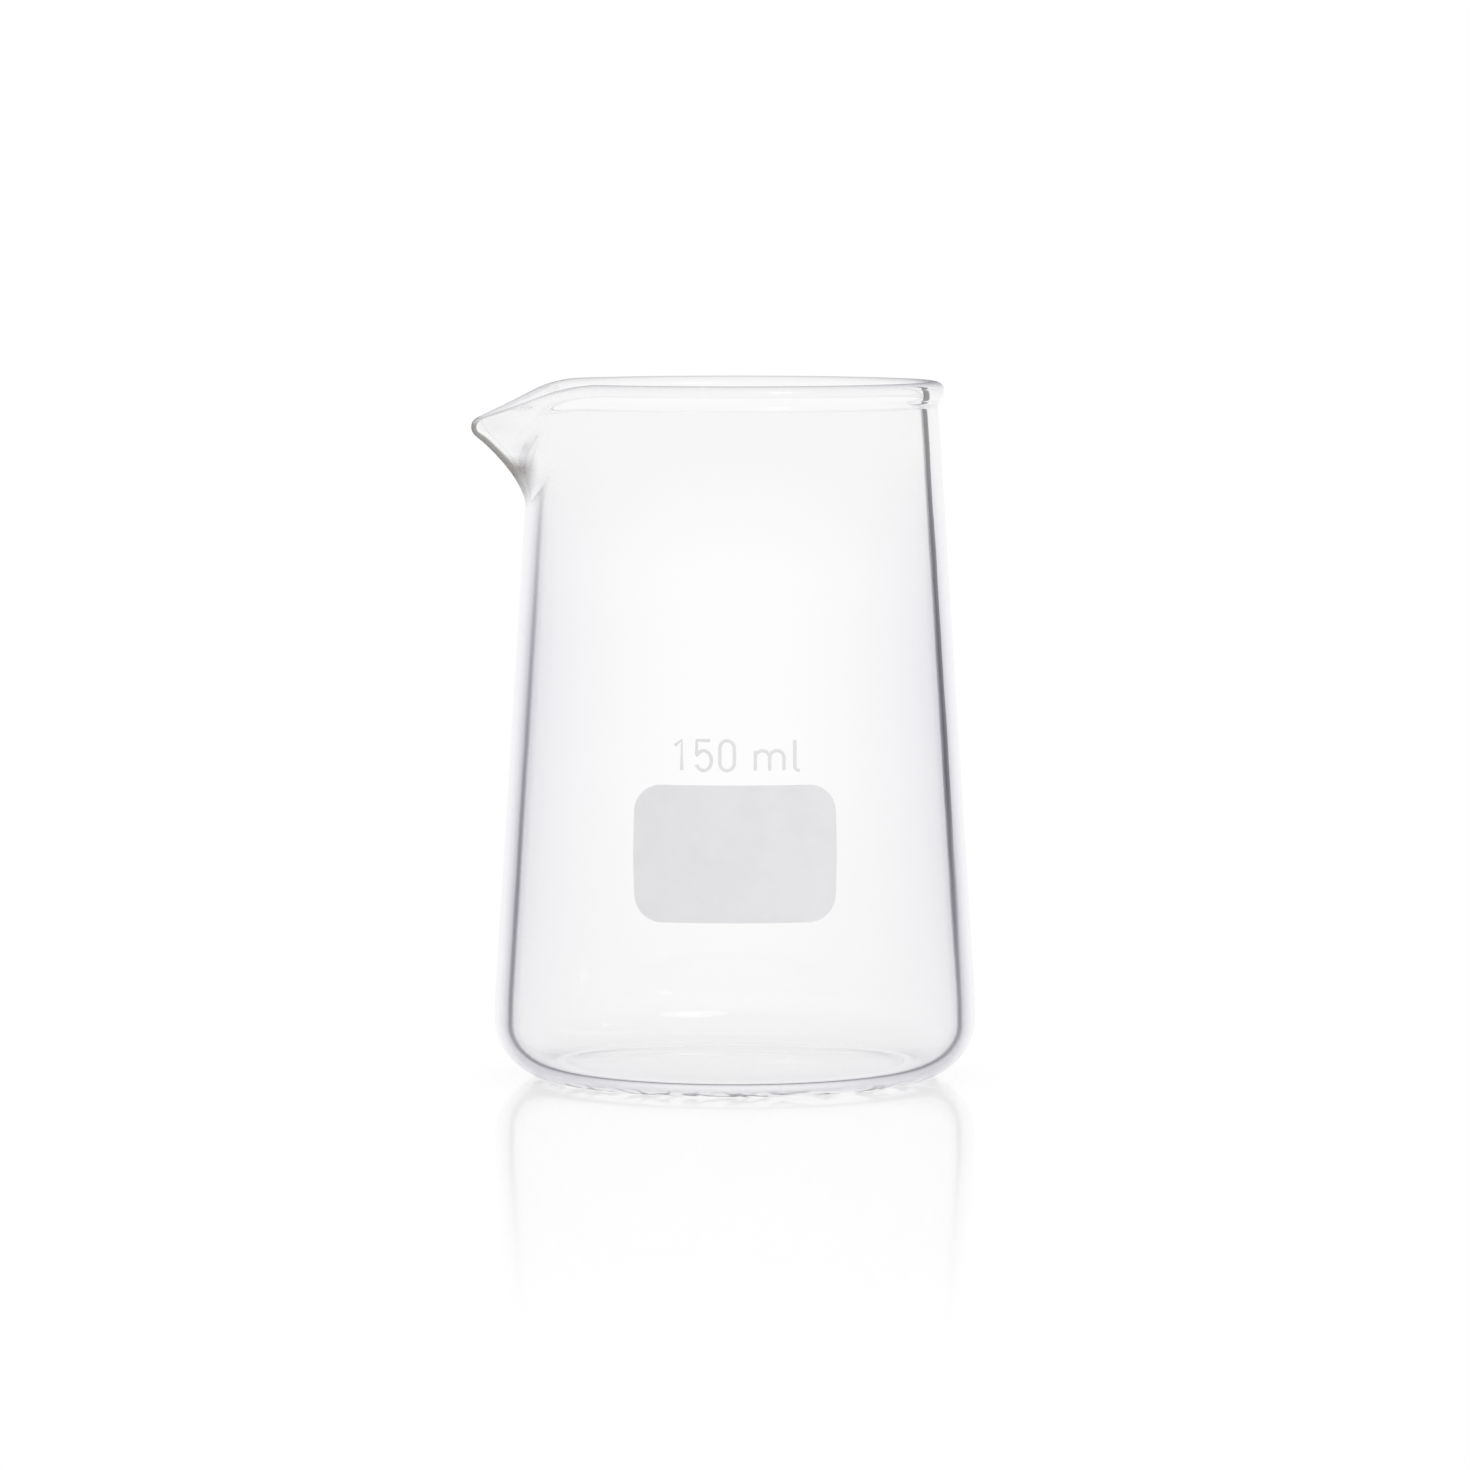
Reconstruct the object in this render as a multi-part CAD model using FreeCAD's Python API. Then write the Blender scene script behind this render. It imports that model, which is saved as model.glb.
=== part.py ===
import FreeCAD, Part
import math
import os

# Conical beaker of borosilicate glass, with a beaded rim, a pouring spout and an enamelled writing field.
# Millimetres. +Z is up, the beaker stands on Z = 0 with its axis on Z.
# The spout points towards -X, and the writing field faces -Y.

# Body
height = 86.0                # floor to the top of the rim
heel_diameter = 59.5         # widest place, at the top of the rounded heel
wall_taper_deg = 3.64        # lean of the wall towards the axis
wall = 1.9                   # measured level, from outside to inside
heel_radius = 7.4            # outside round between wall and base
heel_blend_radius = 57.0     # long round that leads the heel into the leaning wall

# Base
base_thickness = 1.6
contact_width = 1.2          # flat ring that the beaker stands on
push_up = 1.0                # rise of the middle of the base

# Rim bead
bead_bulge = 0.86            # how far it stands out from the wall
bead_shoulder = 1.05         # its widest place, below the top
bead_depth = 3.25            # where it runs out into the wall, below the top
bead_inner_round = 1.4       # height of the round on its inner side
swell_pull = 0.45            # how far the swell keeps the wall's direction, as a share of its height
round_pull = 0.55            # the same for the rounds over the top, close to a quarter of an ellipse

# Spout
spout_bearing_deg = 186.0    # direction of its tip, from +X towards +Y
spout_overhang = 8.05        # from the wall at the rim to the line of the flare at the tip
spout_tip_radius = 3.7       # round of the tip, seen from above
spout_drop = 4.5             # tip of the lip below the rim
spout_depth = 15.5           # foot of the spout below the rim
spout_foot_round_deg = 6.0   # half width of the round at the foot
spout_lead_in = 0.45         # share of the lip's fall that is spent on bending down
nose_tuck = 0.7              # how far the lip's tip draws back from the line of the flare
flare_bend_middle = 1.6      # power of the flare's curve at the middle of the spout
flare_bend_side = 2.0        # the same where the spout runs out into the wall

# Writing field
field_width = 24.5           # seen from the front, at its widest
field_height = 16.5
field_bottom = 21.7          # its lower edge above the floor
field_corner_radius = 3.1
field_side_bow = 0.3         # how far its left and right sides bulge
enamel_thickness = 0.1

# Loft of the spout
root_margin = 3.0            # plain wall kept between the spout's foot and the turned body
side_margin_deg = 8.0        # plain rim lofted beyond each side of the spout
sections_per_side = 16
section_crowding = 1.5       # crowds the sections towards the tip, where the bend is tightest
curve_points = 9             # points on the outline of a section, up one side of the wall
last_section_deg = 0.5       # the last two sections of each side lie this close
lean_step = 0.03             # height over which the wall's lean is measured
join_tolerance = 0.0001      # where the lofted and the turned wall meet

# Sizes worked out from the ones above
taper = math.tan(math.radians(wall_taper_deg))
heel_side_radius = heel_diameter / 2
blend_top = heel_radius + heel_blend_radius * math.sin(math.radians(wall_taper_deg))
blend_top_radius = heel_side_radius - heel_blend_radius * (1 - math.cos(math.radians(wall_taper_deg)))
inner_heel_radius = heel_radius - wall
contact_outer = heel_side_radius - heel_radius
contact_inner = contact_outer - contact_width
spout_foot = height - spout_depth
spout_root = spout_foot - root_margin


def wall_radius(z):
    """Outside radius of the plain leaning wall at a height above the heel."""
    return blend_top_radius - taper * (z - blend_top)


rim_radius = wall_radius(height)
flare_reach = rim_radius + spout_overhang
tip_centre = flare_reach - spout_tip_radius
spout_half_angle = math.acos((rim_radius - spout_tip_radius) / tip_centre)
tip_half_angle = math.atan2(spout_tip_radius * math.sin(spout_half_angle),
                            tip_centre + spout_tip_radius * math.cos(spout_half_angle))
loft_half_angle = spout_half_angle + math.radians(side_margin_deg)


def plan_radius(angle):
    """Distance of the lip from the axis, seen from above, at an angle from the spout's middle.

    Two straight edges leave the rim's circle on a tangent and run to the rounded tip.
    """
    if angle >= spout_half_angle:
        return rim_radius
    if angle > tip_half_angle:
        return rim_radius / math.cos(spout_half_angle - angle)
    across = tip_centre * math.sin(angle)
    return tip_centre * math.cos(angle) + math.sqrt(spout_tip_radius ** 2 - across ** 2)


def lip_fall(angle):
    """How far the lip lies below the rim: it bends down over the lead-in, then falls in a straight line."""
    start = rim_radius * math.cos(spout_half_angle)
    share = (plan_radius(angle) * math.cos(angle) - start) / (flare_reach - start)
    if share <= 0 or angle >= spout_half_angle:
        return 0.0
    if share < spout_lead_in:
        bent = share ** 2 / (2 * spout_lead_in)
    else:
        bent = share - spout_lead_in / 2
    return spout_drop * bent / (1 - spout_lead_in / 2)


def nearness(angle):
    """1 at the spout's middle, 0 from its sides outwards, smooth at both ends."""
    share = min(angle / spout_half_angle, 1.0)
    return 0.5 * (1 + math.cos(math.pi * share))


def flare_foot(angle):
    """Height at which the wall begins to flare: a V with a round foot."""
    foot_round = math.radians(spout_foot_round_deg)
    side = math.hypot(spout_half_angle, foot_round) - foot_round
    share = (math.hypot(min(angle, spout_half_angle), foot_round) - foot_round) / side
    return spout_foot + (height - bead_depth - spout_foot) * share


def outer_radius(angle, z):
    """Outside radius of the wall, flare included, without the bead."""
    foot = flare_foot(angle)
    lip = height - lip_fall(angle) - bead_shoulder
    plain = wall_radius(z)
    if angle >= spout_half_angle or z <= foot:
        return plain
    bend = flare_bend_side + (flare_bend_middle - flare_bend_side) * nearness(angle)
    overhang = plan_radius(angle) - rim_radius
    return plain + overhang * ((z - foot) / (lip - foot)) ** bend


def lean(angle, z):
    """How far the wall leans outwards for each millimetre of height."""
    return (outer_radius(angle, z) - outer_radius(angle, z - lean_step)) / lean_step


def radial_point(angle, r, z):
    """Point at an angle from the spout's middle, a distance from the axis and a height."""
    turn = math.radians(spout_bearing_deg) + angle
    return FreeCAD.Vector(r * math.cos(turn), r * math.sin(turn), z)


def wall_line(angle, low, high, offset):
    """Outline of one side of the wall in a radial plane, from one height to another."""
    side = abs(angle)
    heights = [low + (high - low) * i / (curve_points - 1) for i in range(curve_points)]
    points = [radial_point(angle, outer_radius(side, z) + offset, z) for z in heights]
    line = Part.BSplineCurve()
    line.interpolate(points)
    return line


def curve(angle, corners):
    """Bezier edge in a radial plane, from its control points as pairs of radius and height."""
    bezier = Part.BezierCurve()
    bezier.setPoles([radial_point(angle, r, z) for r, z in corners])
    return bezier.toShape()


def section(angle):
    """Closed outline of the wall and its bead in the radial plane at an angle from the spout's middle."""
    side = abs(angle)
    near = nearness(side)
    top = height - lip_fall(side)
    bead_foot = top - bead_depth
    shoulder = top - bead_shoulder
    inner_foot = top - bead_inner_round

    outer_foot_radius = outer_radius(side, bead_foot)
    inner_foot_radius = outer_radius(side, inner_foot) - wall
    bulge = bead_bulge * (1 - near) - nose_tuck * near
    shoulder_radius = outer_radius(side, shoulder) + bulge
    top_radius = (shoulder_radius + inner_foot_radius) / 2

    outer_lean = lean(side, bead_foot)
    inner_lean = lean(side, inner_foot)
    swell_rise = swell_pull * (shoulder - bead_foot)
    inner_rise = round_pull * bead_inner_round

    outside = wall_line(angle, spout_root, bead_foot, 0).toShape()
    swell = curve(angle, [
        (outer_foot_radius, bead_foot),
        (outer_foot_radius + swell_rise * outer_lean, bead_foot + swell_rise),
        (shoulder_radius, shoulder - swell_rise),
        (shoulder_radius, shoulder)])
    outer_round = curve(angle, [
        (shoulder_radius, shoulder),
        (shoulder_radius, shoulder + round_pull * bead_shoulder),
        (top_radius + round_pull * (shoulder_radius - top_radius), top),
        (top_radius, top)])
    inner_round = curve(angle, [
        (top_radius, top),
        (top_radius - round_pull * (top_radius - inner_foot_radius), top),
        (inner_foot_radius + inner_rise * inner_lean, inner_foot + inner_rise),
        (inner_foot_radius, inner_foot)])
    inside = wall_line(angle, inner_foot, spout_root, -wall).toShape()
    root = Part.makeLine(radial_point(angle, outer_radius(side, spout_root) - wall, spout_root),
                         radial_point(angle, outer_radius(side, spout_root), spout_root))
    return Part.Wire([root, outside, swell, outer_round, inner_round, inside])


def turned(wire, degrees):
    """Solid made by turning a closed outline about the beaker's axis."""
    return Part.Face(wire).revolve(FreeCAD.Vector(0, 0, 0), FreeCAD.Vector(0, 0, 1), degrees)


def upright_point(r, z):
    return FreeCAD.Vector(r, 0, z)


def arc(start, middle, end):
    return Part.Arc(upright_point(*start), upright_point(*middle), upright_point(*end)).toShape()


def line(start, end):
    return Part.makeLine(upright_point(*start), upright_point(*end))


def round_point(centre, radius, degrees):
    """Point on an arc in the turned outline, at an angle from the outward direction."""
    turn = math.radians(degrees)
    return (centre[0] + radius * math.cos(turn), centre[1] + radius * math.sin(turn))


def dome(edge_radius, edge_height, rise):
    """Shallow dome from its middle, on the axis, to its edge."""
    sphere = (edge_radius ** 2 + rise ** 2) / (2 * rise)
    half_way = edge_radius / 2
    sag = sphere - math.sqrt(sphere ** 2 - half_way ** 2)
    return arc((0, edge_height + rise), (half_way, edge_height + rise - sag), (edge_radius, edge_height))


def turned_body():
    """Base, heel and wall up to the root of the spout, turned from one outline."""
    lean = wall_taper_deg
    heel_centre = (contact_outer, heel_radius)
    inner_heel_centre = (heel_side_radius - wall - inner_heel_radius, base_thickness + inner_heel_radius)
    outer_blend_centre = (heel_side_radius - heel_blend_radius, heel_radius)
    outer_root = (wall_radius(spout_root), spout_root)
    inner_root = (wall_radius(spout_root) - wall, spout_root)
    blend_end = (blend_top_radius, blend_top)
    inner_blend_end = (blend_top_radius - wall, blend_top)
    half_lean = round_point(outer_blend_centre, heel_blend_radius, lean / 2)

    edges = [
        dome(contact_inner, 0, push_up),
        line((contact_inner, 0), (contact_outer, 0)),
        arc((contact_outer, 0), round_point(heel_centre, heel_radius, -45), (heel_side_radius, heel_radius)),
        arc((heel_side_radius, heel_radius), half_lean, blend_end),
        line(blend_end, outer_root),
        line(outer_root, inner_root),
        line(inner_root, inner_blend_end),
        arc(inner_blend_end, (half_lean[0] - wall, half_lean[1]), (heel_side_radius - wall, heel_radius)),
        line((heel_side_radius - wall, heel_radius),
             (inner_heel_centre[0] + inner_heel_radius, inner_heel_centre[1])),
        arc((inner_heel_centre[0] + inner_heel_radius, inner_heel_centre[1]),
            round_point(inner_heel_centre, inner_heel_radius, -45),
            (inner_heel_centre[0], base_thickness)),
        dome(inner_heel_centre[0], base_thickness, push_up),
        line((0, push_up + base_thickness), (0, push_up)),
    ]
    return turned(Part.Wire(Part.__sortEdges__(edges)), 360)


def section_angles():
    """Angles of the lofted sections, crowded towards the tip, with a close pair at each side."""
    steps = [(i / sections_per_side) ** section_crowding for i in range(1, sections_per_side + 1)]
    side = [loft_half_angle * step for step in steps]
    side.insert(-1, loft_half_angle - math.radians(last_section_deg))
    return [-angle for angle in reversed(side)] + [0.0] + side


def spout():
    """The sector of wall that holds the spout, lofted through radial sections."""
    return Part.makeLoft([section(angle) for angle in section_angles()], True, False)


def plain_rim():
    """The rest of the wall's top and its bead, turned from the section beside the spout."""
    return turned(section(loft_half_angle), 360 - 2 * math.degrees(loft_half_angle))


def beaker():
    """The whole glass as one solid."""
    return turned_body().fuse([plain_rim(), spout()], join_tolerance).removeSplitter().Solids[0]


def cone_between(low, high, offset):
    """Solid of the leaning wall's outside between two heights, grown outwards."""
    low_radius = wall_radius(low) + offset
    high_radius = wall_radius(high) + offset
    return Part.makeCone(low_radius, high_radius, high - low, FreeCAD.Vector(0, 0, low))


def field_side(direction):
    """Bowed left (-1) or right (1) edge of the writing field, on a plane in front of the beaker."""
    front = -heel_side_radius - enamel_thickness
    corner_x = direction * (field_width / 2 - field_side_bow)
    return Part.Arc(FreeCAD.Vector(corner_x, front, field_bottom),
                    FreeCAD.Vector(direction * field_width / 2, front, field_bottom + field_height / 2),
                    FreeCAD.Vector(corner_x, front, field_bottom + field_height)).toShape()


def label_field():
    """Enamel on the outside of the wall: a rounded field with bowed sides, carried straight on to the cone."""
    top = field_bottom + field_height
    skin = cone_between(field_bottom, top, enamel_thickness).cut(cone_between(field_bottom, top, 0))
    left = field_side(-1)
    right = field_side(1)
    foot = Part.makeLine(left.firstVertex().Point, right.firstVertex().Point)
    head = Part.makeLine(left.lastVertex().Point, right.lastVertex().Point)
    outline = Part.Wire(Part.__sortEdges__([foot, right, head, left]))
    plate = Part.Face(outline).extrude(FreeCAD.Vector(0, heel_side_radius, 0))
    corners = [edge for edge in plate.Edges if abs(edge.tangentAt(edge.FirstParameter).y) > 0.9]
    return skin.common(plate.makeFillet(field_corner_radius, corners))


os.makedirs("parts", exist_ok=True)
for name, solid in (("beaker", beaker()), ("label_field", label_field())):
    solid.exportStep("parts/" + name + ".step")
    print(name, "valid", solid.isValid(), "solids", len(solid.Solids), "volume mm3", round(solid.Volume, 1))
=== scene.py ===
import math

import bmesh
import bpy
from mathutils import Euler, Matrix, Vector


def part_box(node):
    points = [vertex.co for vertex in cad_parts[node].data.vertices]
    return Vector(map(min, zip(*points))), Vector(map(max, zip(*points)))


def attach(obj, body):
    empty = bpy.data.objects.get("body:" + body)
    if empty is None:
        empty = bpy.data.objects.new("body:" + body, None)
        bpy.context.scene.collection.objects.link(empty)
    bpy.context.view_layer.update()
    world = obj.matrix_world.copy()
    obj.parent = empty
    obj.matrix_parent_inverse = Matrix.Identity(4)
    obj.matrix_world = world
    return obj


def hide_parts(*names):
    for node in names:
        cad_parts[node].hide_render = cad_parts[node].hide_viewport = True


# A conical beaker of clear borosilicate glass, 86 mm tall, with an enamelled writing field and capacity mark.
# The outline is worked out in millimetres, and each finished mesh is brought to metres once.

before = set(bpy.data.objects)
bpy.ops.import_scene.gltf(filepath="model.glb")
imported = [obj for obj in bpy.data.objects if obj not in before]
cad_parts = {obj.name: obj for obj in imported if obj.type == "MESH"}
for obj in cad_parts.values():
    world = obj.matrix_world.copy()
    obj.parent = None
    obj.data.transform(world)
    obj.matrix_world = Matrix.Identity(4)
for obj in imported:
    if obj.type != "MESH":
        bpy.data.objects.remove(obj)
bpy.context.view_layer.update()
METRE = 0.001                # one millimetre

# Body, read from the frame where the frame holds it
glass_low, glass_high = (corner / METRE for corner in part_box("beaker"))
field_low, field_high = (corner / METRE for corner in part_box("label_field"))
height = glass_high.z
heel_diameter = 2 * glass_high.y
wall_taper = math.radians(3.64)
wall = 1.9
heel_radius = 7.4
heel_blend_radius = 57.0

# Base
base_thickness = 1.6
contact_width = 1.2          # of the ring that it stands on
push_up = 1.0                # how far its middle is pushed up, above and below

# Rim bead
bead_bulge = 0.86            # how far it stands out from the wall
bead_shoulder = 1.05         # how far its widest place lies below its top
bead_depth = 3.25            # how far down it begins to swell out of the wall
bead_inner_round = 1.4       # how far down its rounding reaches inside
swell_pull = 0.45            # reach of its curves' pull points, as a share of each curve's height or width
round_pull = 0.55

# Spout
spout_bearing = math.radians(186)  # from the right, by way of the back
spout_overhang = 8.05        # how far its tip stands out past the rim
spout_tip_radius = 3.7       # seen from above
spout_drop = 4.5             # how far its tip lies below the rim
spout_depth = 15.5           # how far down the wall begins to flare
spout_foot_round = math.radians(6)
spout_lead_in = 0.45         # share of its reach over which the lip bends down
nose_tuck = 0.7              # how far its nose is drawn in under the lip
flare_bend_middle = 1.6      # powers of the flare's curve
flare_bend_side = 2.0
root_margin = 3.0            # plain wall kept under the spout
lean_step = 0.03             # rise over which the wall's lean is measured

# Enamel
field_corner_radius = 3.1
field_side_bow = 0.3         # how far the writing field's two sides bulge
enamel_thickness = 0.1
enamel_bite = 0.03           # how deep the fired enamel has sunk into the glass
mark_bottom = 40.0           # foot of the capacity mark, on the middle of its stroke
mark_height = 3.6
mark_stroke = 0.42
mark_thickness = 0.04
letter_height = 0.66         # top of the small letters, as a share of the mark's height
enamel_grain = 0.35          # size of the print's grain
enamel_cloud = 4.0           # size of its faint clouds
enamel_grain_rise = 0.01
enamel_grain_strength = 0.25
enamel_smoothest = 0.38      # its roughness where it shines most, and where it shines least
enamel_roughest = 0.55
enamel_ior = 1.5
enamel_greys = [(0.45, "#dedde0"), (0.85, "#e1e1e3")]

# Glass
glass_ior = 1.473
shadow_tint = "#fafafb"      # what is left of the light that falls through the glass on to other things
blown_wave = 9.0             # size of the slight waves that blowing leaves in the glass
blown_wave_rise = 0.02
deep_painted_glow = "#f6f5f7"       # painted light: the glass glows this near-white where light runs on and on inside it
deepest_reflection = 3

# Painted shade on the glass, from a wall seen square on (0) to one seen edge on (1)
outer_painted_shade = [(0.0, "#fefefe"), (0.1, "#fcfcfc"), (0.2, "#fafafb"), (0.29, "#f8f7f9"), (0.44, "#f3f2f5"),
               (0.507, "#efeef1"), (0.544, "#ebeaed"), (0.585, "#e2e1e6"), (0.63, "#d4d3d9"),
               (0.676, "#e6e5e9"), (0.734, "#f4f3f6"), (0.84, "#fbfafc"), (1.0, "#ffffff")]
heel_painted_shade = [(0.0, "#ffffff"), (0.5, "#fcfcfd"), (0.62, "#eeedf0"), (0.8, "#e8e7eb"), (0.93, "#f6f6f8"),
              (1.0, "#ffffff")]
crest_painted_shade = [(0.0, "#ffffff"), (0.5, "#f6f6f7"), (0.75, "#dedee2"), (0.9, "#adadb2"), (1.0, "#a2a2a8")]
spout_painted_shade = [(0.0, "#ffffff"), (0.2, "#fcfcfc"), (0.3, "#fafafa"), (0.34, "#ffffff"), (0.4, "#fefefe"),
               (0.47, "#a9a6a4"), (0.8, "#9a9895"), (1.0, "#b4b2b0")]
clear_greys = [(0.0, "#ffffff"), (1.0, "#ffffff")]

# Painted dark line of the inner skin, between the two slants where light begins to be thrown back inside the
# wall
edge_start = 0.24
edge_end = 0.30
inner_painted_line = [(0.0, "#ffffff"), (0.25, "#f6f6f8"), (0.38, "#9a999f"), (0.47, "#9a999f"), (0.57, "#dcdce0"),
               (0.8, "#f4f4f7"), (1.0, "#ffffff")]

# Painted dark glints where the glass stands on the table, along a pattern of noise
foot_painted_glints = [(0.0, "#ffffff"), (0.44, "#ffffff"), (0.5, "#66656c"), (0.56, "#a8a4a5"), (0.6, "#ffffff"),
              (1.0, "#ffffff")]

# Painted shade over the whole glass, a touch darker towards its bottom and its top, from its bottom (0) to
# its top (1)
height_painted_shade = [(0.0, "#fdfdfd"), (0.18, "#fefefe"), (0.45, "#ffffff"), (0.72, "#ffffff"), (0.9, "#fdfdfd"),
                (1.0, "#fdfdfd")]

# Where each part of the glass takes its painted shade
outer_shade_middle = 50.0           # height where the outer skin takes its painted shade in full
outer_shade_fall_up = 8.5           # how fast they fade above it, and below it
outer_shade_fall_down = 2.0
least_outer_shade = 0.1
heel_line_top = 5.0          # how far up the heel its own painted shade reaches
crest_depth = 0.9            # how far down from the lip its own painted shade reaches
foot_height = 1.1            # how far up from the table the painted glints reach
foot_glint = 3.0             # how long they are
line_full = 27.0             # height up to which the inner skin's painted dark line is at its darkest
line_top = 0.15              # how much of it is left at the rim
line_floor = 4.0             # how far it reaches on to the floor inside
spout_line = 0.3             # how much of it the spout takes
spout_rise = 4.0             # height over which the wall's painted shade gives way to the spout's
spout_side = 0.72            # nearness to the spout's middle at which its painted shade begins
spout_fade = 0.2             # rise of nearness over which they come in
glass_layers = ("skin", "inside", "tone", "heel", "foot", "crest", "drawn_out")

# Studio
room_level = 0.94            # light that the room sheds on everything
ceiling_start = 0.25         # sine of the height where the white room begins to dim
ceiling_end = 0.85
ceiling_level = 0.5
card_greys = [(0.0, "#ffffff"), (1.0, "#58585e")]
card_fade = 0.03             # height over which the card darkens, so that the line ends softly
card_bearing = 44.5          # degrees from straight behind, to the right
card_distance = 0.177
card_width = 0.029
card_height = 0.4
card_deepest = 2.5           # reflections times refractions past which the card shows no more
floor_radius = 2.5
board_white = "#efefef"
board_gloss = 0.4
board_roughness = 0.07
mirror_reach = 0.24          # how far from the beaker the board still mirrors it
shade_share = 0.2            # how much of the beaker's shadow the eye is given, right under it
shade_start = 0.024          # distance from the axis at which the shadow begins to fade, and where it ends
shade_end = 0.038
lamp_target = (0, 0, 0.04)
camera_place = (0, -0.9855, 0.1129)
camera_target = (0, 0, 0.0423)
camera_lens = 195.9          # in millimetres, as is the film's width
film_width = 36

# How finely the glass is turned: first the sector that holds the spout, then the rest
sector_half_angle = math.radians(54)
sector_steps = 150
plain_steps = 170
crease_angle = math.radians(50)
weld = 0.001                 # points that lie closer than this become one

# How finely the outline and the prints are cut
flare_steps = 26
inner_flare_steps = 28
swell_steps = 10
lip_steps = 9
dome_steps = 14
heel_steps = 26
inner_heel_steps = 20
blend_steps = 6
plain_wall_steps = 14
field_corner_steps = 12
field_strips = 48
field_rows = 12
pen_turn = 10                # degrees of an oval between two points of a pen stroke

# Sizes worked out from the ones above
taper = math.tan(wall_taper)
heel_side_radius = heel_diameter / 2
blend_top = heel_radius + heel_blend_radius * math.sin(wall_taper)
blend_top_radius = heel_side_radius - heel_blend_radius * (1 - math.cos(wall_taper))
inner_heel_radius = heel_radius - wall
contact_outer = heel_side_radius - heel_radius
contact_inner = contact_outer - contact_width
spout_foot = height - spout_depth
spout_root = spout_foot - root_margin


def wall_radius(z):
    """Outside radius of the plain leaning wall at a height above the heel."""
    return blend_top_radius - taper * (z - blend_top)


rim_radius = wall_radius(height)
flare_reach = rim_radius + spout_overhang
tip_centre = flare_reach - spout_tip_radius
spout_half_angle = math.acos((rim_radius - spout_tip_radius) / tip_centre)
tip_half_angle = math.atan2(spout_tip_radius * math.sin(spout_half_angle),
                            tip_centre + spout_tip_radius * math.cos(spout_half_angle))


def plan_radius(angle):
    """Distance of the lip from the axis, seen from above, at an angle from the spout's middle."""
    if angle >= spout_half_angle:
        return rim_radius
    if angle > tip_half_angle:
        return rim_radius / math.cos(spout_half_angle - angle)
    across = tip_centre * math.sin(angle)
    return tip_centre * math.cos(angle) + math.sqrt(spout_tip_radius ** 2 - across ** 2)


def lip_fall(angle):
    """How far the lip lies below the rim: it bends down over the lead-in, then falls in a straight line."""
    start = rim_radius * math.cos(spout_half_angle)
    share = (plan_radius(angle) * math.cos(angle) - start) / (flare_reach - start)
    if share <= 0 or angle >= spout_half_angle:
        return 0.0
    if share < spout_lead_in:
        bent = share ** 2 / (2 * spout_lead_in)
    else:
        bent = share - spout_lead_in / 2
    return spout_drop * bent / (1 - spout_lead_in / 2)


def nearness(angle):
    """1 at the spout's middle, 0 from its sides outwards, smooth at both ends."""
    return 0.5 * (1 + math.cos(math.pi * min(angle / spout_half_angle, 1.0)))


def flare_foot(angle):
    """Height at which the wall begins to flare: a V with a round foot."""
    side = math.hypot(spout_half_angle, spout_foot_round) - spout_foot_round
    share = (math.hypot(min(angle, spout_half_angle), spout_foot_round) - spout_foot_round) / side
    return spout_foot + (height - bead_depth - spout_foot) * share


def outer_radius(angle, z):
    """Outside radius of the wall, flare included, without the bead."""
    foot = flare_foot(angle)
    lip = height - lip_fall(angle) - bead_shoulder
    plain = wall_radius(z)
    if angle >= spout_half_angle or z <= foot:
        return plain
    bend = flare_bend_side + (flare_bend_middle - flare_bend_side) * nearness(angle)
    return plain + (plan_radius(angle) - rim_radius) * ((z - foot) / (lip - foot)) ** bend


def lean(angle, z):
    """How far the wall leans outwards for each millimetre of height."""
    return (outer_radius(angle, z) - outer_radius(angle, z - lean_step)) / lean_step


def steps(start, end, count):
    """Numbers from start up to end, end left out."""
    return [start + (end - start) * i / count for i in range(count)]


def arc(centre, radius, start, end, count):
    """Points on an arc, at angles from the outward direction, the last one left out."""
    return [(centre[0] + radius * math.cos(turn), centre[1] + radius * math.sin(turn))
            for turn in steps(start, end, count)]


def bow(corners, count):
    """Points on a cubic Bezier curve, the last one left out."""
    a, b, c, d = (Vector(corner) for corner in corners)
    shares = steps(0, 1, count)
    return [tuple((1 - t) ** 3 * a + 3 * t * (1 - t) ** 2 * b + 3 * t * t * (1 - t) * c + t ** 3 * d)
            for t in shares]


def rim_outline(angle):
    """Upper wall and bead, in the radial plane at an angle from the spout's middle."""
    near = nearness(angle)
    top = height - lip_fall(angle)
    bead_foot = top - bead_depth
    shoulder = top - bead_shoulder
    inner_foot = top - bead_inner_round

    outer_foot_radius = outer_radius(angle, bead_foot)
    inner_foot_radius = outer_radius(angle, inner_foot) - wall
    bulge = bead_bulge * (1 - near) - nose_tuck * near
    shoulder_radius = outer_radius(angle, shoulder) + bulge
    top_radius = (shoulder_radius + inner_foot_radius) / 2
    swell_rise = swell_pull * (shoulder - bead_foot)
    inner_rise = round_pull * bead_inner_round

    outside = [(outer_radius(angle, z), z) for z in steps(spout_root, bead_foot, flare_steps)]
    swell = bow([(outer_foot_radius, bead_foot),
                 (outer_foot_radius + swell_rise * lean(angle, bead_foot), bead_foot + swell_rise),
                 (shoulder_radius, shoulder - swell_rise),
                 (shoulder_radius, shoulder)], swell_steps)
    outer_round = bow([(shoulder_radius, shoulder),
                       (shoulder_radius, shoulder + round_pull * bead_shoulder),
                       (top_radius + round_pull * (shoulder_radius - top_radius), top),
                       (top_radius, top)], lip_steps)
    inner_round = bow([(top_radius, top),
                       (top_radius - round_pull * (top_radius - inner_foot_radius), top),
                       (inner_foot_radius + inner_rise * lean(angle, inner_foot), inner_foot + inner_rise),
                       (inner_foot_radius, inner_foot)], lip_steps)
    inside = [(outer_radius(angle, z) - wall, z) for z in steps(inner_foot, spout_root, inner_flare_steps)]
    return outside + swell + outer_round + inner_round + inside


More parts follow.
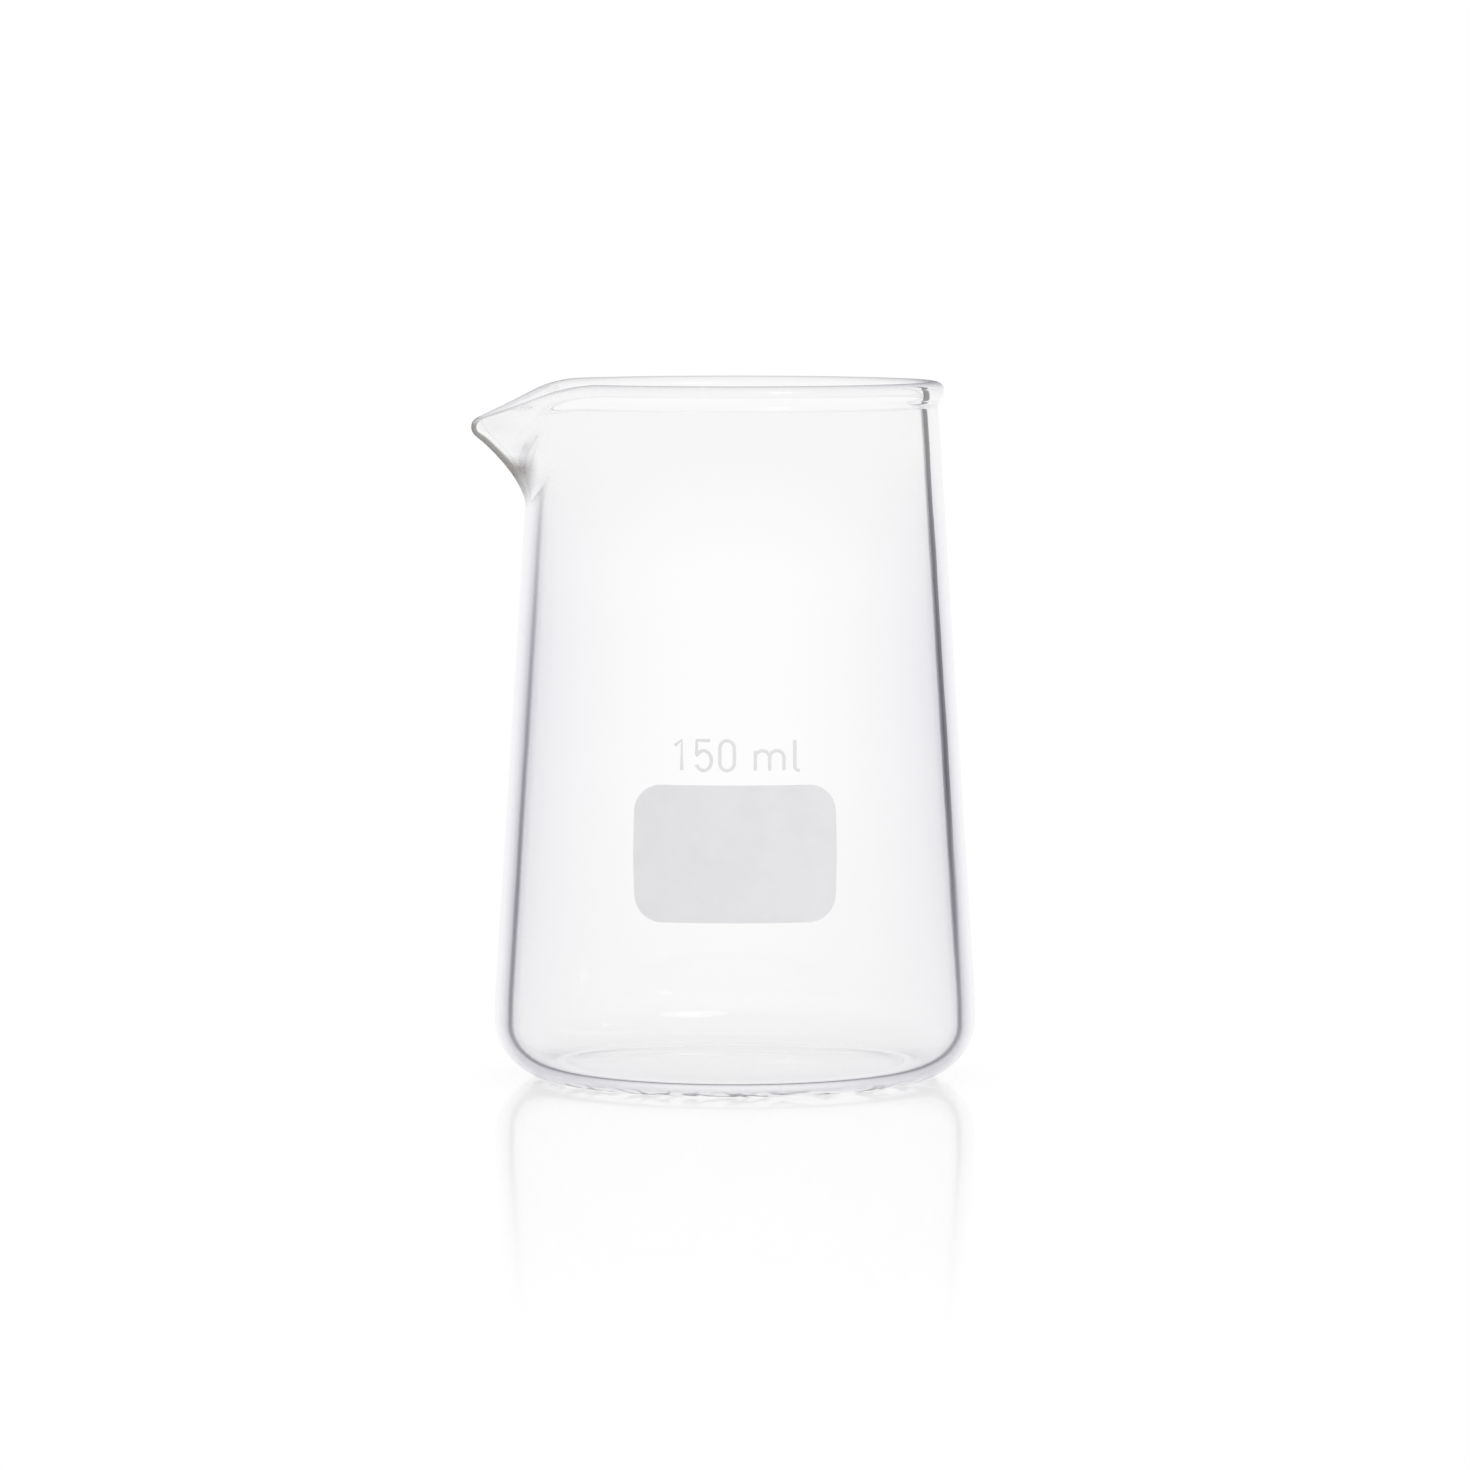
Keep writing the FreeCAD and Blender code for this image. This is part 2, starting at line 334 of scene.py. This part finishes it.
def dome(edge_radius, edge_height, rise, count):
    """Shallow dome from its middle, on the axis, to its edge, the edge left out."""
    sphere = (edge_radius ** 2 + rise ** 2) / (2 * rise)
    return [(r, edge_height + rise - sphere + math.sqrt(sphere ** 2 - r ** 2))
            for r in steps(0, edge_radius, count)]


def glass_outline():
    """The whole outline away from the spout, and where the rim's share of it starts."""
    heel_centre = (contact_outer, heel_radius)
    inner_heel_centre = (heel_side_radius - wall - inner_heel_radius, base_thickness + inner_heel_radius)
    blend_centre = (heel_side_radius - heel_blend_radius, heel_radius)
    inner_blend_centre = (blend_centre[0] - wall, heel_radius)
    below = dome(contact_inner, 0, push_up, dome_steps)
    below += [(contact_inner, 0)]
    below += arc(heel_centre, heel_radius, -math.pi / 2, 0, heel_steps)
    below += arc(blend_centre, heel_blend_radius, 0, wall_taper, blend_steps)
    below += [(wall_radius(z), z) for z in steps(blend_top, spout_root, plain_wall_steps)]
    above = [(wall_radius(z) - wall, z) for z in steps(spout_root, blend_top, plain_wall_steps)]
    above += arc(inner_blend_centre, heel_blend_radius, wall_taper, 0, blend_steps)
    above += [(heel_side_radius - wall, heel_radius)]
    above += arc(inner_heel_centre, inner_heel_radius, 0, -math.pi / 2, inner_heel_steps)
    above += [(inner_heel_centre[0], base_thickness)]
    above += reversed(dome(inner_heel_centre[0], base_thickness, push_up, dome_steps))
    return below + rim_outline(math.pi) + above, len(below)


def inner_share(r, z):
    """How much of the painted dark line a place on the inner skin takes: less towards the rim, none on the
    floor.
    """
    up = max((z - line_full) / (height - line_full), 0.0)
    inwards = max((heel_side_radius - heel_radius - r) / line_floor, 0.0)
    return max(1 - (1 - line_top) * up - inwards, 0.0)


def outer_shade_share(z):
    """How much of its painted shade the outer skin takes at a height: all of it near the middle, less towards
    rim and bottom."""
    away = (z - outer_shade_middle) / height
    fall = outer_shade_fall_up if away > 0 else outer_shade_fall_down
    return max(1 - fall * away ** 2, least_outer_shade)


def drawn_share(angle, z):
    """How much a place belongs to the back of the drawn-out spout, which takes painted shade of its own."""
    up = min(max((z - flare_foot(angle)) / spout_rise, 0.0), 1.0)
    across = min(max((nearness(angle) - spout_side) / spout_fade, 0.0), 1.0)
    return up * across


def glass_mesh():
    """The glass turned from its outline in one wall, with the spout drawn out of its sector of the rim."""
    points, rim_start = glass_outline()
    crest = max(range(len(points)), key=lambda i: points[i][1])
    start = spout_bearing - sector_half_angle
    bm = bmesh.new()
    place = bm.verts.layers.int.new("place")
    layer = {name: bm.verts.layers.float.new(name) for name in glass_layers}
    line = []
    for i, (r, z) in enumerate(points):
        vert = bm.verts.new((r * math.cos(start), r * math.sin(start), z))
        vert[place] = i
        # Shares of painted shade for each part of the glass, held on the mesh for its material
        vert[layer["tone"]] = outer_shade_share(z)
        if i > crest:
            vert[layer["skin"]] = 1.0
            vert[layer["inside"]] = inner_share(r, z)
        if i < rim_start:
            vert[layer["heel"]] = max(1 - z / heel_line_top, 0.0)
        if i < rim_start and r > contact_inner:
            vert[layer["foot"]] = max(1 - z / foot_height, 0.0)
        line.append(vert)
    edges = [bm.edges.new(pair) for pair in zip(line, line[1:])]
    turned = bmesh.ops.spin(bm, geom=line + edges, axis=(0, 0, 1), cent=(0, 0, 0),
                            angle=2 * sector_half_angle, steps=sector_steps)
    bmesh.ops.spin(bm, geom=turned["geom_last"], axis=(0, 0, 1), cent=(0, 0, 0),
                   angle=2 * math.pi - 2 * sector_half_angle, steps=plain_steps)
    bmesh.ops.remove_doubles(bm, verts=bm.verts, dist=weld)

    rim_end = rim_start + len(rim_outline(math.pi))
    drawn = {}
    for vert in bm.verts:
        if not rim_start <= vert[place] < rim_end:
            continue
        bearing = math.atan2(vert.co.y, vert.co.x)
        angle = round(abs(math.remainder(bearing - spout_bearing, 2 * math.pi)), 6)
        lip = height - lip_fall(angle)
        if angle < spout_half_angle:
            if angle not in drawn:
                drawn[angle] = rim_outline(angle)
            r, z = drawn[angle][vert[place] - rim_start]
            vert.co = (r * math.cos(bearing), r * math.sin(bearing), z)
            if vert[place] <= crest:
                vert[layer["drawn_out"]] = drawn_share(angle, z)
            else:
                vert[layer["inside"]] = max(vert[layer["inside"]], spout_line * drawn_share(angle, z))
        vert[layer["crest"]] = max(1 - (lip - vert.co.z) / crest_depth, 0.0)
    bmesh.ops.recalc_face_normals(bm, faces=bm.faces)
    return bm


def finished(name, bm, material, slot, *replaced):
    """A mesh brought to metres, as a piece of the beaker with its material."""
    bmesh.ops.scale(bm, vec=(METRE, METRE, METRE), verts=bm.verts)
    for face in bm.faces:
        face.smooth = True
    mesh = bpy.data.meshes.new(name)
    bm.to_mesh(mesh)
    bm.free()
    mesh.set_sharp_from_angle(angle=crease_angle)
    mesh.materials.append(material)
    piece = bpy.data.objects.new(name, mesh)
    bpy.context.scene.collection.objects.link(piece)
    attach(piece, "root")
    if replaced:
        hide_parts(*replaced)
    return piece


def onto_wall(bm, offset):
    """Carries a flat print straight on to the front of the wall. Its Y is its height over the glass. That
    mirrors it, so its faces, turned outwards while it is flat, are turned round at the end."""
    bmesh.ops.recalc_face_normals(bm, faces=bm.faces)
    for vert in bm.verts:
        out = wall_radius(vert.co.z) + offset + vert.co.y
        vert.co.y = -math.sqrt(out ** 2 - vert.co.x ** 2)
    bmesh.ops.reverse_faces(bm, faces=bm.faces)


def field_mesh():
    """The writing field: a rounded plate, cut into strips so that it bends round the wall."""
    width = field_high.x - field_low.x
    tall = field_high.z - field_low.z
    bm = bmesh.new()
    corners = [bm.verts.new((x * width / 2, 0, field_low.z + z * tall))
               for x, z in ((-1, 0), (1, 0), (1, 1), (-1, 1))]
    bm.faces.new(corners)
    bmesh.ops.bevel(bm, geom=corners, offset=field_corner_radius, offset_type="OFFSET",
                    segments=field_corner_steps, profile=0.5, affect="VERTICES", material=-1)
    for x in steps(-width / 2, width / 2, field_strips)[1:]:
        bmesh.ops.bisect_plane(bm, geom=bm.verts[:] + bm.edges[:] + bm.faces[:],
                               plane_co=(x, 0, 0), plane_no=(1, 0, 0))
    for z in steps(field_low.z, field_high.z, field_rows)[1:]:
        bmesh.ops.bisect_plane(bm, geom=bm.verts[:] + bm.edges[:] + bm.faces[:],
                               plane_co=(0, 0, z), plane_no=(0, 0, 1))
    middle = (field_low.z + field_high.z) / 2
    for vert in bm.verts:
        drawn_in = field_side_bow * ((vert.co.z - middle) / (tall / 2)) ** 2
        vert.co.x *= 1 - drawn_in / (width / 2)
    raised = bmesh.ops.extrude_face_region(bm, geom=bm.faces[:])
    lifted = [item for item in raised["geom"] if isinstance(item, bmesh.types.BMVert)]
    bmesh.ops.translate(bm, vec=(0, enamel_thickness + enamel_bite, 0), verts=lifted)
    onto_wall(bm, -enamel_bite)
    return bm


def oval(centre, reach, start, end):
    """Pen points along an oval, from one angle to another in degrees, counted from the right."""
    count = max(4, round(abs(end - start) / pen_turn))
    turns = [math.radians(turn) for turn in steps(start, end, count) + [end]]
    return [(centre[0] + reach[0] * math.cos(turn), centre[1] + reach[1] * math.sin(turn)) for turn in turns]


def mark_strokes():
    """Pen strokes of the capacity mark, 150 ml, as distances from the middle of the front and shares of its
    height."""
    small = letter_height
    arch = (0.86, small - 0.42)
    return [
        [(-7.25, 0.82), (-6.4, 1.0), (-6.4, 0.0)],
        [(-2.98, 1.0), (-4.6, 1.0), (-4.6, 0.53)] + oval((-3.76, 0.33), (0.93, 0.33), 150, -155),
        oval((-0.94, 0.74), (0.87, 0.26), 0, 180) + oval((-0.94, 0.26), (0.87, 0.26), 180, 360)
        + [(-0.07, 0.74)],
        [(2.45, 0.0), (2.45, small)],
        oval((3.31, 0.42), arch, 180, 0) + [(4.17, 0.0)],
        oval((5.03, 0.42), arch, 180, 0) + [(5.89, 0.0)],
        [(7.19, 1.0)] + oval((7.66, 0.13), (0.47, 0.13), 180, 270) + [(7.8, 0.0)],
    ]


def mark_mesh():
    """The capacity mark: square-ended strokes of one width, a little domed, carried on to the wall."""
    data = bpy.data.curves.new("pen", "CURVE")
    data.dimensions = "3D"
    data.bevel_depth = mark_stroke / 2
    data.bevel_resolution = 2
    data.use_fill_caps = True
    for stroke in mark_strokes():
        spline = data.splines.new("POLY")
        spline.points.add(len(stroke) - 1)
        for point, (x, share) in zip(spline.points, stroke):
            point.co = (x, 0, mark_bottom + share * mark_height, 1)
    pen = bpy.data.objects.new("pen", data)
    mesh = bpy.data.meshes.new_from_object(pen)
    bm = bmesh.new()
    bm.from_mesh(mesh)
    bpy.data.objects.remove(pen)
    bpy.data.curves.remove(data)
    bpy.data.meshes.remove(mesh)
    bmesh.ops.remove_doubles(bm, verts=bm.verts, dist=weld)
    bmesh.ops.scale(bm, vec=(1, 2 * mark_thickness / mark_stroke, 1), verts=bm.verts)
    onto_wall(bm, 0)
    return bm


def linear(code):
    """A colour written as an sRGB hex value, as the linear colour that a shader takes."""
    shares = [int(code[i:i + 2], 16) / 255 for i in (1, 3, 5)]
    return [s / 12.92 if s <= 0.04045 else ((s + 0.055) / 1.055) ** 2.4 for s in shares] + [1.0]


def add_node(tree, kind, inputs=None, stops=(), **settings):
    """Adds a node with its settings. An input is given a value, or the output that it is linked to. A colour
    ramp is given its stops, each a place from 0 to 1 and an sRGB hex colour."""
    node = tree.nodes.new(kind)
    for name, value in settings.items():
        setattr(node, name, value)
    for name, value in (inputs or {}).items():
        if isinstance(value, bpy.types.NodeSocket):
            tree.links.new(value, node.inputs[name])
        else:
            node.inputs[name].default_value = value
    for _ in stops[2:]:
        node.color_ramp.elements.new(0.5)
    for i, (place, code) in enumerate(stops):
        node.color_ramp.elements[i].position = place
        node.color_ramp.elements[i].color = linear(code)
    return node


def new_material(name):
    """An empty material and its node tree."""
    material = bpy.data.materials.new(name)
    material.use_nodes = True
    material.node_tree.nodes.clear()
    return material, material.node_tree


def glass_painted_shade(tree, place):
    """The glass's colour, all of it painted shade, by the slant at which each part is seen. Each line of the
    list lays one part's painted shade over the ones before it, by a share that the mesh holds. The foot's
    painted glints and the spout's count only from outside, and the inner skin's painted dark line only from
    within the glass. Last, a painted shade by height is laid over all."""
    slant = add_node(tree, "ShaderNodeLayerWeight", {"Blend": 0.5}).outputs["Facing"]
    within = add_node(tree, "ShaderNodeNewGeometry").outputs["Backfacing"]
    share = {name: add_node(tree, "ShaderNodeAttribute", attribute_name=name).outputs["Fac"]
             for name in glass_layers}
    line = add_node(tree, "ShaderNodeMath", {0: share["inside"], 1: within}, operation="MULTIPLY")
    foot, spout = (add_node(tree, "ShaderNodeMath", {0: share[name], 1: within}, operation="SUBTRACT",
                            use_clamp=True) for name in ("foot", "drawn_out"))
    edge = add_node(tree, "ShaderNodeMapRange", {
        "Value": slant, "From Min": edge_start, "From Max": edge_end})
    # Noise that places the painted dark glints along the foot
    glints = add_node(tree, "ShaderNodeTexNoise", {
        "Vector": place, "Scale": 1 / (foot_glint * METRE), "Detail": 1.0})
    # Painted shade of each part of the glass, laid on in turn
    parts = [
        (share["tone"], slant, outer_painted_shade),
        (share["heel"], slant, heel_painted_shade),
        (foot.outputs[0], glints.outputs["Fac"], foot_painted_glints),
        (share["skin"], slant, clear_greys),
        (line.outputs[0], edge.outputs[0], inner_painted_line),
        (spout.outputs[0], slant, spout_painted_shade),
        (share["crest"], slant, crest_painted_shade),
    ]
    colour = linear("#ffffff")
    for amount, along, greys in parts:
        grey = add_node(tree, "ShaderNodeValToRGB", {"Fac": along}, greys)
        laid = add_node(tree, "ShaderNodeMix", {
            "Factor": amount, "A": colour, "B": grey.outputs["Color"]}, data_type="RGBA")
        colour = laid.outputs["Result"]
    # Painted shade by height, a touch darker at the bottom and the top, laid over all the rest
    up = add_node(tree, "ShaderNodeSeparateXYZ", {0: place})
    rise = add_node(tree, "ShaderNodeMath", {0: up.outputs["Z"], 1: height * METRE}, operation="DIVIDE")
    height_shade = add_node(tree, "ShaderNodeValToRGB", {"Fac": rise.outputs[0]}, height_painted_shade)
    height_shaded = add_node(tree, "ShaderNodeMix", {
        "Factor": 1.0, "A": colour, "B": height_shade.outputs["Color"]}, data_type="RGBA", blend_type="MULTIPLY")
    return height_shaded.outputs["Result"]


def borosilicate_glass():
    """Clear, colourless borosilicate glass, blown and fire polished: perfectly smooth. Its colour is painted
    shade: a wall seen at a slant turns a cool grey, palest where it is seen edge on, and the inner skin ends
    in a thin dark line. Past a few reflections the glass glows a painted near-white instead. Light on its way
    to other things passes straight through."""
    material, tree = new_material("borosilicate_glass_fire_polished")
    place = add_node(tree, "ShaderNodeTexCoord").outputs["Object"]
    waves = add_node(tree, "ShaderNodeTexNoise", {
        "Vector": place, "Scale": 1 / (blown_wave * METRE), "Detail": 1.0})
    surface = add_node(tree, "ShaderNodeBump", {
        "Height": waves.outputs["Fac"], "Strength": 1.0, "Distance": blown_wave_rise * METRE})
    shader = add_node(tree, "ShaderNodeBsdfGlass", {
        "Color": glass_painted_shade(tree, place), "Roughness": 0.0, "IOR": glass_ior,
        "Normal": surface.outputs["Normal"]})
    path = add_node(tree, "ShaderNodeLightPath")
    # Painted light: past a few reflections the glass glows a plain near-white instead of reflecting on
    deep = add_node(tree, "ShaderNodeMath", {
        0: path.outputs["Glossy Depth"], 1: deepest_reflection - 0.5}, operation="GREATER_THAN")
    depth = add_node(tree, "ShaderNodeEmission", {"Color": linear(deep_painted_glow), "Strength": 1.0})
    lit = add_node(tree, "ShaderNodeMixShader", {
        0: deep.outputs[0], 1: shader.outputs[0], 2: depth.outputs[0]})
    clear = add_node(tree, "ShaderNodeBsdfTransparent", {"Color": linear(shadow_tint)})
    passing = add_node(tree, "ShaderNodeMath", {
        0: path.outputs["Is Shadow Ray"], 1: path.outputs["Is Diffuse Ray"]}, operation="MAXIMUM")
    mix = add_node(tree, "ShaderNodeMixShader", {
        0: passing.outputs[0], 1: lit.outputs[0], 2: clear.outputs[0]})
    add_node(tree, "ShaderNodeOutputMaterial", {"Surface": mix.outputs[0]})
    return material


def white_enamel():
    """White glass enamel, screen printed and fired: satin and a little grey, with faint clouds, and a fine
    grain in its colour and in how evenly it shines. Seen by way of a reflection it glows plain white, a
    painted light that keeps its own mirror image out of the glass."""
    material, tree = new_material("white_enamel_satin")
    place = add_node(tree, "ShaderNodeTexCoord").outputs["Object"]
    grain = add_node(tree, "ShaderNodeTexNoise", {
        "Vector": place, "Scale": 1 / (enamel_grain * METRE), "Detail": 3.0})
    cloud = add_node(tree, "ShaderNodeTexNoise", {
        "Vector": place, "Scale": 1 / (enamel_cloud * METRE), "Detail": 2.0})
    both = add_node(tree, "ShaderNodeMath", {
        0: grain.outputs["Fac"], 1: cloud.outputs["Fac"], 2: cloud.outputs["Fac"]}, operation="MULTIPLY_ADD")
    tone = add_node(tree, "ShaderNodeValToRGB", {"Fac": both.outputs[0]}, enamel_greys)
    gloss = add_node(tree, "ShaderNodeMapRange", {
        "Value": grain.outputs["Fac"], "To Min": enamel_smoothest, "To Max": enamel_roughest})
    rise = add_node(tree, "ShaderNodeBump", {
        "Height": grain.outputs["Fac"], "Strength": enamel_grain_strength,
        "Distance": enamel_grain_rise * METRE})
    shader = add_node(tree, "ShaderNodeBsdfPrincipled", {
        "Base Color": tone.outputs["Color"], "Roughness": gloss.outputs[0], "IOR": enamel_ior,
        "Normal": rise.outputs["Normal"]})
    # Painted light: rays that reach the enamel by way of a reflection see a glowing plain white
    path = add_node(tree, "ShaderNodeLightPath")
    mirrored = add_node(tree, "ShaderNodeMath", {
        0: path.outputs["Glossy Depth"], 1: 0.5}, operation="GREATER_THAN")
    white = add_node(tree, "ShaderNodeEmission", {"Color": linear("#ffffff"), "Strength": 1.0})
    mix = add_node(tree, "ShaderNodeMixShader", {
        0: mirrored.outputs[0], 1: shader.outputs[0], 2: white.outputs[0]})
    add_node(tree, "ShaderNodeOutputMaterial", {"Surface": mix.outputs[0]})
    return material


def seen(tree, path):
    """1 for a ray from the eye, straight or by way of glass and gloss, and 0 for light on its way to a
    surface."""
    by_gloss = add_node(tree, "ShaderNodeMath", {
        0: path.outputs["Is Glossy Ray"], 1: path.outputs["Is Transmission Ray"]}, operation="MAXIMUM")
    by_eye = add_node(tree, "ShaderNodeMath", {
        0: by_gloss.outputs[0], 1: path.outputs["Is Camera Ray"]}, operation="MAXIMUM")
    first = add_node(tree, "ShaderNodeMath", {
        0: path.outputs["Diffuse Depth"], 1: 0.5}, operation="LESS_THAN")
    both = add_node(tree, "ShaderNodeMath", {0: by_eye.outputs[0], 1: first.outputs[0]}, operation="MULTIPLY")
    return both.outputs[0]


def studio_floor():
    """Smooth white board: it fades to pure white round the beaker and keeps a soft shadow and a faint
    reflection under it."""
    material, tree = new_material("white_board")
    path = add_node(tree, "ShaderNodeLightPath")
    place = add_node(tree, "ShaderNodeTexCoord")
    distance = add_node(tree, "ShaderNodeVectorMath", {0: place.outputs["Object"]}, operation="LENGTH")
    fade = add_node(tree, "ShaderNodeMapRange", {
        "Value": distance.outputs["Value"], "From Min": shade_start, "From Max": shade_end,
        "To Min": shade_share, "To Max": 0.0}, interpolation_type="SMOOTHSTEP")
    matt = add_node(tree, "ShaderNodeBsdfDiffuse", {"Color": linear(board_white)})
    white = add_node(tree, "ShaderNodeEmission", {"Color": linear("#ffffff"), "Strength": 1.0})
    shaded = add_node(tree, "ShaderNodeMixShader", {
        0: fade.outputs[0], 1: white.outputs[0], 2: matt.outputs[0]})
    polish = add_node(tree, "ShaderNodeBsdfGlossy", {
        "Color": linear("#ffffff"), "Roughness": board_roughness})
    slant = add_node(tree, "ShaderNodeLayerWeight", {"Blend": 0.5})
    steep = add_node(tree, "ShaderNodeMath", {0: slant.outputs["Facing"], 1: 2.0}, operation="POWER")
    mirror = add_node(tree, "ShaderNodeMapRange", {
        "Value": distance.outputs["Value"], "From Min": 0.0, "From Max": mirror_reach,
        "To Min": board_gloss, "To Max": 0.0}, interpolation_type="SMOOTHSTEP")
    gloss = add_node(tree, "ShaderNodeMath", {
        0: mirror.outputs[0], 1: steep.outputs[0]}, operation="MULTIPLY")
    shown = add_node(tree, "ShaderNodeMixShader", {
        0: gloss.outputs[0], 1: shaded.outputs[0], 2: polish.outputs[0]})
    mix = add_node(tree, "ShaderNodeMixShader", {
        0: seen(tree, path), 1: matt.outputs[0], 2: shown.outputs[0]})
    add_node(tree, "ShaderNodeOutputMaterial", {"Surface": mix.outputs[0]})
    return material


def floor():
    """The table that the beaker stands on, one round white board."""
    bm = bmesh.new()
    bmesh.ops.create_circle(bm, cap_ends=True, segments=96, radius=floor_radius)
    mesh = bpy.data.meshes.new("floor")
    bm.to_mesh(mesh)
    bm.free()
    mesh.materials.append(studio_floor())
    piece = bpy.data.objects.new("floor", mesh)
    bpy.context.scene.collection.objects.link(piece)


def studio_world():
    """A white room with a dimmer ceiling, for the eye and the glass. What it sheds on things is one plain
    level."""
    world = bpy.data.worlds.new("studio")
    bpy.context.scene.world = world
    world.use_nodes = True
    tree = world.node_tree
    tree.nodes.clear()
    path = add_node(tree, "ShaderNodeLightPath")
    direction = add_node(tree, "ShaderNodeTexCoord")
    up = add_node(tree, "ShaderNodeSeparateXYZ", {0: direction.outputs["Generated"]})
    ceiling = add_node(tree, "ShaderNodeMapRange", {
        "Value": up.outputs["Z"], "From Min": ceiling_start, "From Max": ceiling_end,
        "To Min": 1.0, "To Max": ceiling_level}, interpolation_type="SMOOTHSTEP")
    strength = add_node(tree, "ShaderNodeMix", {
        "Factor": seen(tree, path), "A": room_level, "B": ceiling.outputs[0]}, data_type="FLOAT")
    light = add_node(tree, "ShaderNodeBackground", {
        "Color": linear("#ffffff"), "Strength": strength.outputs[0]})
    add_node(tree, "ShaderNodeOutputWorld", {"Surface": light.outputs[0]})


def lamp(name, place, width, depth, power):
    """A soft lamp that looks at the middle of the beaker."""
    data = bpy.data.lights.new(name, "AREA")
    data.shape = "ELLIPSE"
    data.size = width
    data.size_y = depth
    data.energy = power
    item = bpy.data.objects.new(name, data)
    item.location = place
    item.rotation_euler = (Vector(lamp_target) - item.location).to_track_quat("-Z", "Y").to_euler()
    bpy.context.scene.collection.objects.link(item)


def dark_card():
    """A dark card beyond the beaker on the right, out of sight. It draws the dark line down the right edge of
    the glass, as a black flag does in a product shot."""
    turn = math.radians(card_bearing)
    middle = Vector((card_distance * math.sin(turn), card_distance * math.cos(turn), card_height / 2))
    upright = Euler((math.pi / 2, 0, -turn))
    stand = Matrix.LocRotScale(middle, upright, Vector((card_width, card_height, 1)))
    bm = bmesh.new()
    bmesh.ops.create_grid(bm, x_segments=1, y_segments=1, size=0.5, matrix=stand)
    mesh = bpy.data.meshes.new("dark_card")
    bm.to_mesh(mesh)
    bm.free()
    material, tree = new_material("dark_card")
    place = add_node(tree, "ShaderNodeTexCoord")
    up = add_node(tree, "ShaderNodeSeparateXYZ", {0: place.outputs["Object"]})
    rise = add_node(tree, "ShaderNodeMapRange", {
        "Value": up.outputs["Z"], "From Min": 0.0, "From Max": card_fade})
    shade = add_node(tree, "ShaderNodeValToRGB", {"Fac": rise.outputs[0]}, card_greys)
    path = add_node(tree, "ShaderNodeLightPath")
    bounces = add_node(tree, "ShaderNodeMath", {
        0: path.outputs["Glossy Depth"], 1: path.outputs["Transmission Depth"]}, operation="MULTIPLY")
    stray = add_node(tree, "ShaderNodeMath", {
        0: bounces.outputs[0], 1: card_deepest}, operation="GREATER_THAN")
    shown = add_node(tree, "ShaderNodeMix", {
        "Factor": stray.outputs[0], "A": shade.outputs["Color"], "B": linear("#ffffff")}, data_type="RGBA")
    shader = add_node(tree, "ShaderNodeEmission", {"Color": shown.outputs["Result"], "Strength": 1.0})
    add_node(tree, "ShaderNodeOutputMaterial", {"Surface": shader.outputs[0]})
    mesh.materials.append(material)
    piece = bpy.data.objects.new("dark_card", mesh)
    piece.visible_camera = piece.visible_diffuse = piece.visible_glossy = piece.visible_shadow = False
    bpy.context.scene.collection.objects.link(piece)


def camera():
    """A long lens about a metre away and a little above the beaker's middle."""
    data = bpy.data.cameras.new("camera")
    data.sensor_width = film_width
    data.lens = camera_lens
    data.clip_start = 0.05
    data.clip_end = 20
    item = bpy.data.objects.new("camera", data)
    item.location = camera_place
    item.rotation_euler = (Vector(camera_target) - item.location).to_track_quat("-Z", "Y").to_euler()
    bpy.context.scene.collection.objects.link(item)
    bpy.context.scene.camera = item


glass = borosilicate_glass()
enamel = white_enamel()
finished("beaker_glass", glass_mesh(), glass, "glass", "beaker")
finished("writing_field", field_mesh(), enamel, "enamel", "label_field")
finished("capacity_mark", mark_mesh(), enamel, "enamel")

floor()
dark_card()
studio_world()
lamp("soft_lamp", place=(0.5, -1.0, 1.1), width=0.9, depth=0.5, power=1.1)
lamp("key_lamp", place=(0.56, -1.0, 1.1), width=0.28, depth=0.12, power=2.5)
camera()
bpy.context.scene.view_settings.view_transform = "Standard"
